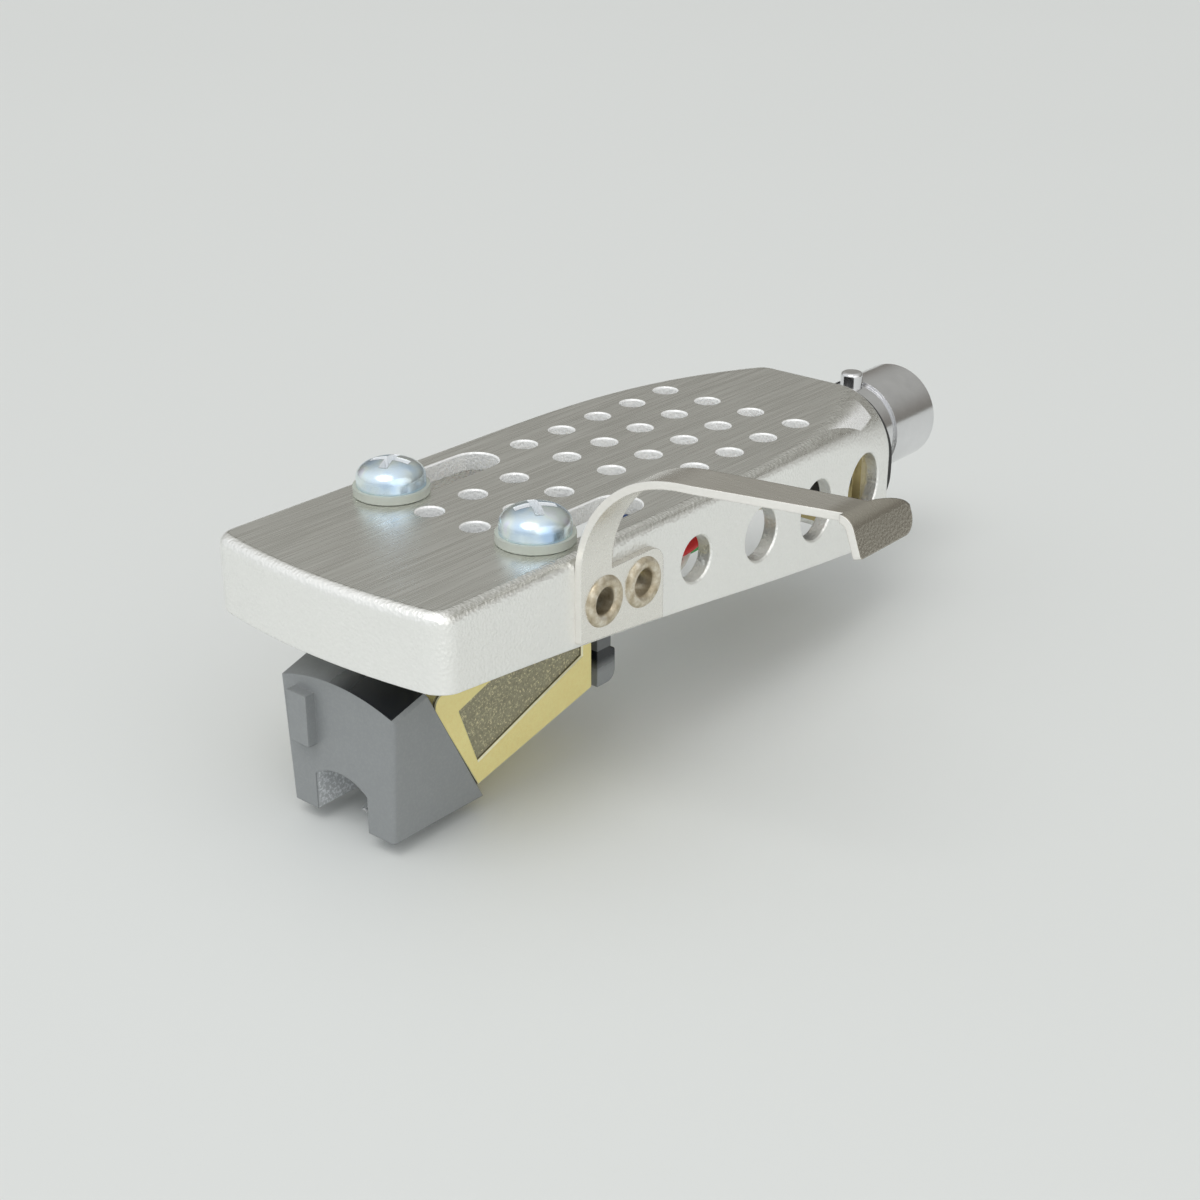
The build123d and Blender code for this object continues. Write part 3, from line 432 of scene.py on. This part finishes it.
def rubber(name, level):
    paint = surface(name, ior=1.5)
    grain = paint.noise((5.0, 5.0, 5.0), 4.0, 0.6)
    paint.set("Base Color", paint.mix(grain, grey(level), grey(level + 0.03)))
    paint.set("Roughness", 0.6 + 0.25 * grain)
    paint.relief(grain, 0.01)
    return paint.owner


def wire_cover(name, colour):
    """Soft coloured insulation."""
    paint = surface(name, ior=1.48)
    cloud = paint.noise((1.1, 1.1, 1.1), 3.0, 0.5)
    dark = tuple(channel * 0.8 for channel in colour[:3]) + (1.0,)
    paint.set("Base Color", paint.mix(cloud, dark, colour))
    paint.set("Roughness", 0.32 + 0.2 * cloud)
    return paint.owner


def windings():
    """Enamelled copper wire, wound in close turns."""
    paint = surface("windings", metallic=1.0)
    wave_inputs = {"Vector": paint.place((1, 1, 1)), "Scale": 4.0}
    turns = paint.node("ShaderNodeTexWave", {"bands_direction": "Z"}, wave_inputs)
    paint.set("Base Color", paint.mix(turns, (0.30, 0.10, 0.04, 1.0), (0.78, 0.38, 0.18, 1.0)))
    paint.set("Roughness", 0.4 - 0.15 * turns)
    paint.relief(turns, 0.05)
    return paint.owner


def clear_stone():
    paint = surface("clear_stone", transmission_weight=1.0, ior=2.42, roughness=0.02)
    cloud = paint.noise((8.0, 8.0, 8.0))
    paint.set("Base Color", paint.mix(cloud, (0.86, 0.88, 0.92, 1.0), (0.97, 0.98, 1.0, 1.0)))
    return paint.owner


def make_finishes():
    """One material for each of the record's material slots."""
    contact = plated_metal("contact_plate", (0.92, 0.74, 0.38, 1.0), (0.66, 0.50, 0.22, 1.0), 0.16)
    return {
        "shell": shell_metal(),
        "lift": lift_metal(),
        "rivet": tarnished_metal(),
        "plug": plated_metal("plug_plate", (0.84, 0.84, 0.85, 1.0), (0.68, 0.68, 0.69, 1.0), 0.1),
        "gasket": rubber("gasket_rubber", 0.02),
        "clamp": plated_metal("dull_brass", (0.66, 0.55, 0.30, 1.0), (0.46, 0.38, 0.18, 1.0), 0.3),
        "insulator": rubber("insulator_board", 0.02),
        "contact": contact,
        "clip": contact,
        "screw": zinc_plate(),
        "washer": nylon(),
        "nut": plated_metal("nut_plate", (0.70, 0.70, 0.70, 1.0), (0.50, 0.49, 0.47, 1.0), 0.25),
        "bracket": dark_moulding("bracket_moulding", no_mask, no_mask),
        "case": case_gold(),
        "former": rubber("former_moulding", 0.05),
        "terminal_block": dark_moulding("terminal_moulding", terminal_step_shade, no_mask),
        "holder": dark_moulding("holder_moulding", holder_crown, holder_notch),
        "sleeve": plated_metal("drawn_metal", (0.80, 0.80, 0.80, 1.0), (0.60, 0.60, 0.60, 1.0), 0.2),
        "damper": rubber("damper_rubber", 0.03),
        "diamond": clear_stone(),
        "cantilever": plated_metal("cantilever_metal", grey(0.86), grey(0.70), 0.18),
        "magnet": plated_metal("magnet_metal", (0.40, 0.40, 0.42, 1.0), (0.28, 0.28, 0.30, 1.0), 0.3),
        "pole": plated_metal("pole_metal", (0.48, 0.47, 0.46, 1.0), (0.34, 0.33, 0.32, 1.0), 0.3),
        "coil": windings(),
        "lead_red": wire_cover("red_cover", (0.78, 0.03, 0.03, 1.0)),
        "lead_white": wire_cover("white_cover", (0.90, 0.88, 0.80, 1.0)),
        "lead_green": wire_cover("green_cover", (0.10, 0.50, 0.16, 1.0)),
        "lead_blue": wire_cover("blue_cover", (0.05, 0.16, 0.55, 1.0)),
    }


def finish_nodes(finishes):
    """Gives every CAD piece the finish of its material slot."""
    for entry in frame["record"]["subparts"]:
        materials = nodes[entry["node"]].data.materials
        materials.clear()
        materials.append(finishes[entry["material_slot"]])


def lead_tree():
    """Geometry nodes that round off a route's corners and draw a tube along it."""
    tree = bpy.data.node_groups.new("lead_tube", "GeometryNodeTree")
    tree.interface.new_socket("Route", in_out="INPUT", socket_type="NodeSocketGeometry")
    tree.interface.new_socket("Radius", in_out="INPUT", socket_type="NodeSocketFloat")
    tree.interface.new_socket("Bend", in_out="INPUT", socket_type="NodeSocketFloat")
    tree.interface.new_socket("Finish", in_out="INPUT", socket_type="NodeSocketMaterial")
    tree.interface.new_socket("Tube", in_out="OUTPUT", socket_type="NodeSocketGeometry")

    def add(kind, inputs, **settings):
        node = tree.nodes.new(kind)
        for setting, value in settings.items():
            setattr(node, setting, value)
        for name, value in inputs.items():
            if isinstance(value, bpy.types.NodeSocket):
                tree.links.new(value, node.inputs[name])
            else:
                node.inputs[name].default_value = value
        return node.outputs[0] if node.outputs else None

    given = tree.nodes.new("NodeGroupInput").outputs
    curve = add("GeometryNodeMeshToCurve", {"Mesh": given["Route"]})
    bends = {"Curve": curve, "Radius": given["Bend"], "Limit Radius": True, "Count": LEAD_BEND_POINTS}
    rounded = add("GeometryNodeFilletCurve", bends, mode="POLY")
    ring = {"Radius": given["Radius"], "Resolution": LEAD_SIDES}
    profile = add("GeometryNodeCurvePrimitiveCircle", ring)
    tube = add("GeometryNodeCurveToMesh", {"Curve": rounded, "Profile Curve": profile, "Fill Caps": True})
    smooth = add("GeometryNodeSetShadeSmooth", {"Geometry": tube})
    real = add("GeometryNodeRealizeInstances", {"Geometry": smooth})
    finished = add("GeometryNodeSetMaterial", {"Geometry": real, "Material": given["Finish"]})
    add("NodeGroupOutput", {"Tube": finished})
    return tree


def lead_route(name):
    """A lead's points, from the crimp of its terminal clip to the crimp of its contact clip."""
    first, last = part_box(f"terminal_clip_{name}")
    start = Vector(((first.x + last.x) / 2, last.y - LEAD_HOLD, (first.z + last.z) / 2))
    first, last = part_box(f"contact_clip_{name}")
    end = Vector(((first.x + last.x) / 2, first.y + LEAD_HOLD, (first.z + last.z) / 2))
    leave = start + Vector((0, LEAD_RUN, 0))
    arrive = end - Vector((0, LEAD_RUN, 0))
    slack = [Vector((x, 0, z)) * MM for x, z in LEAD_SLACK[name]]
    bends = [leave.lerp(arrive, share) + shift for share, shift in zip(LEAD_BENDS, slack)]
    return [start, leave, *bends, arrive, end]


def lay_leads(finishes):
    """Round leads in place of the solid ones."""
    tree = lead_tree()
    sockets = {item.name: item.identifier for item in tree.interface.items_tree if item.in_out == "INPUT"}
    for name in LEAD_SLACK:
        route = lead_route(name)
        mesh = bpy.data.meshes.new(f"lead_{name}_route")
        mesh.from_pydata(route, [(place, place + 1) for place in range(len(route) - 1)], [])
        draft = bpy.data.objects.new(f"lead_{name}_draft", mesh)
        bpy.context.scene.collection.objects.link(draft)
        tube = draft.modifiers.new("tube", "NODES")
        tube.node_group = tree
        tube[sockets["Radius"]] = LEAD_RADIUS
        tube[sockets["Bend"]] = LEAD_BEND
        tube[sockets["Finish"]] = finishes[f"lead_{name}"]
        shown = draft.evaluated_get(bpy.context.evaluated_depsgraph_get())
        lead = bpy.data.objects.new(f"lead_{name}_wire", bpy.data.meshes.new_from_object(shown))
        bpy.context.scene.collection.objects.link(lead)
        bpy.data.objects.remove(draft)
        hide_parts(f"lead_{name}")
        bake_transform(lead)


def lay_floor():
    """A wide pale floor under the stylus."""
    mesh = bpy.data.meshes.new("floor")
    shape = bmesh.new()
    bmesh.ops.create_grid(shape, x_segments=1, y_segments=1, size=FLOOR_SIZE / 2)
    bmesh.ops.translate(shape, verts=shape.verts, vec=(0, 0, cad_box[0].z - FLOOR_GAP))
    shape.to_mesh(mesh)
    shape.free()
    floor = bpy.data.objects.new("floor", mesh)
    bpy.context.scene.collection.objects.link(floor)
    paint = surface("floor_paint", roughness=0.5)
    cloud = paint.noise((0.004, 0.004, 0.004), 2.0, 0.5)
    paint.set("Base Color", paint.mix(cloud, (0.72, 0.74, 0.73, 1.0), (0.75, 0.77, 0.76, 1.0)))
    mesh.materials.append(paint.owner)


def sun_lamp(name, towards, spread, power):
    """A distant lamp as wide as a window, which shines from a direction."""
    lamp = bpy.data.lights.new(name, "SUN")
    lamp.angle = radians(spread)
    lamp.energy = power
    lamp.color = LAMP_COLOUR
    stand = bpy.data.objects.new(name, lamp)
    stand.rotation_euler = Vector(towards).to_track_quat("Z", "Y").to_euler()
    bpy.context.scene.collection.objects.link(stand)


def light_scene():
    """A broad lamp high in front and a weak one from the right, in a room that is dim behind."""
    for name, (towards, spread, power) in LAMPS.items():
        sun_lamp(name, towards, spread, power)
    room = Paint(bpy.data.worlds.new("room"), "Background", {"Strength": 1.0})
    direction = room.node("ShaderNodeTexCoord", {}, {}, "Generated")
    y = room.node("ShaderNodeSeparateXYZ", {}, {0: direction}, "Y")
    z = room.node("ShaderNodeSeparateXYZ", {}, {0: direction}, "Z")
    front_stops = [(0.0, (0.62, 0.64, 0.64, 1.0)), (0.5, (0.90, 0.92, 0.94, 1.0)), (1.0, grey(0.85))]
    back_stops = [
        (0.0, (0.19, 0.18, 0.16, 1.0)),
        (0.2, (0.28, 0.27, 0.25, 1.0)),
        (0.45, (0.41, 0.41, 0.39, 1.0)),
        (0.65, (0.46, 0.46, 0.44, 1.0)),
        (1.0, grey(0.85)),
    ]
    front = room.ramp(z, front_stops)
    back = room.ramp(z, back_stops)
    room.set("Color", room.mix(room.ease(y, -0.35, 0.35), front, back))
    bpy.context.scene.world = room.owner


def set_camera():
    """The view from the front right, a little above."""
    flat = cos(CAMERA_ELEVATION)
    away = Vector((sin(CAMERA_AZIMUTH) * flat, -cos(CAMERA_AZIMUTH) * flat, sin(CAMERA_ELEVATION)))
    data = bpy.data.cameras.new("camera")
    data.lens = CAMERA_LENS
    data.sensor_width = CAMERA_SENSOR
    data.clip_start = CAMERA_NEAR
    camera = bpy.data.objects.new("camera", data)
    camera.location = CAMERA_AIM + away * CAMERA_DISTANCE
    camera.rotation_euler = away.to_track_quat("Z", "Y").to_euler()
    bpy.context.scene.collection.objects.link(camera)
    bpy.context.scene.camera = camera


finishes = make_finishes()
finish_nodes(finishes)
lay_leads(finishes)
lay_floor()
light_scene()
set_camera()
bpy.context.scene.view_settings.view_transform = "Standard"
